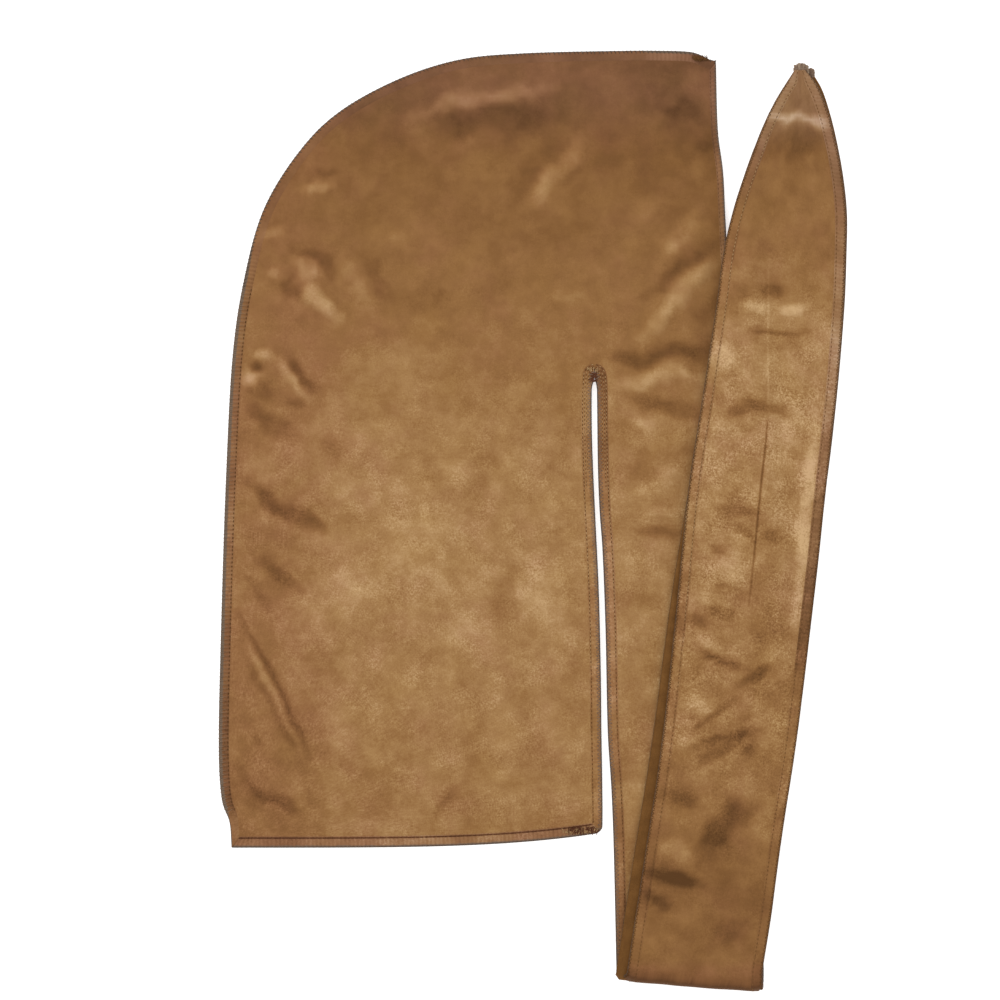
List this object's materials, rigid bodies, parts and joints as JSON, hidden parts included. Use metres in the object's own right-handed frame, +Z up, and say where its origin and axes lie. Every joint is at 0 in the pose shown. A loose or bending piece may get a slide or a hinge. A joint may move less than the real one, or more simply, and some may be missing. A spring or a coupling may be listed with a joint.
{
  "type": "velvet durag",
  "caption": "Velvet durag with a domed crown, a long cape and long tapered ties, laid flat, folded on its centre seam.",
  "frame": {"origin": "on the surface that the durag lies on, under the middle of its footprint", "axes": "+Z up, +Y from the folded end of the ties towards the crown's top, +X from the back of the cape towards the ties"},
  "size_m": [0.3774, 0.565, 0.0131],
  "materials": {
    "velvet": "brushed velvet with a soft sheen, golden tan",
    "hem": "velvet turned under and stitched, red-brown",
    "seam_thread": "overlocking thread, matt red-brown"
  },
  "bodies": {
    "root": {"upper_half": "velvet", "lower_half": "velvet", "centre_seam": "seam_thread", "upper_front_hem": "hem", "lower_front_hem": "hem", "upper_slit_hem": "hem", "lower_slit_hem": "hem", "upper_cape_hem": "hem", "lower_cape_hem": "hem", "upper_tip_tack": "seam_thread", "lower_tip_tack": "seam_thread"}
  },
  "joints": []
}
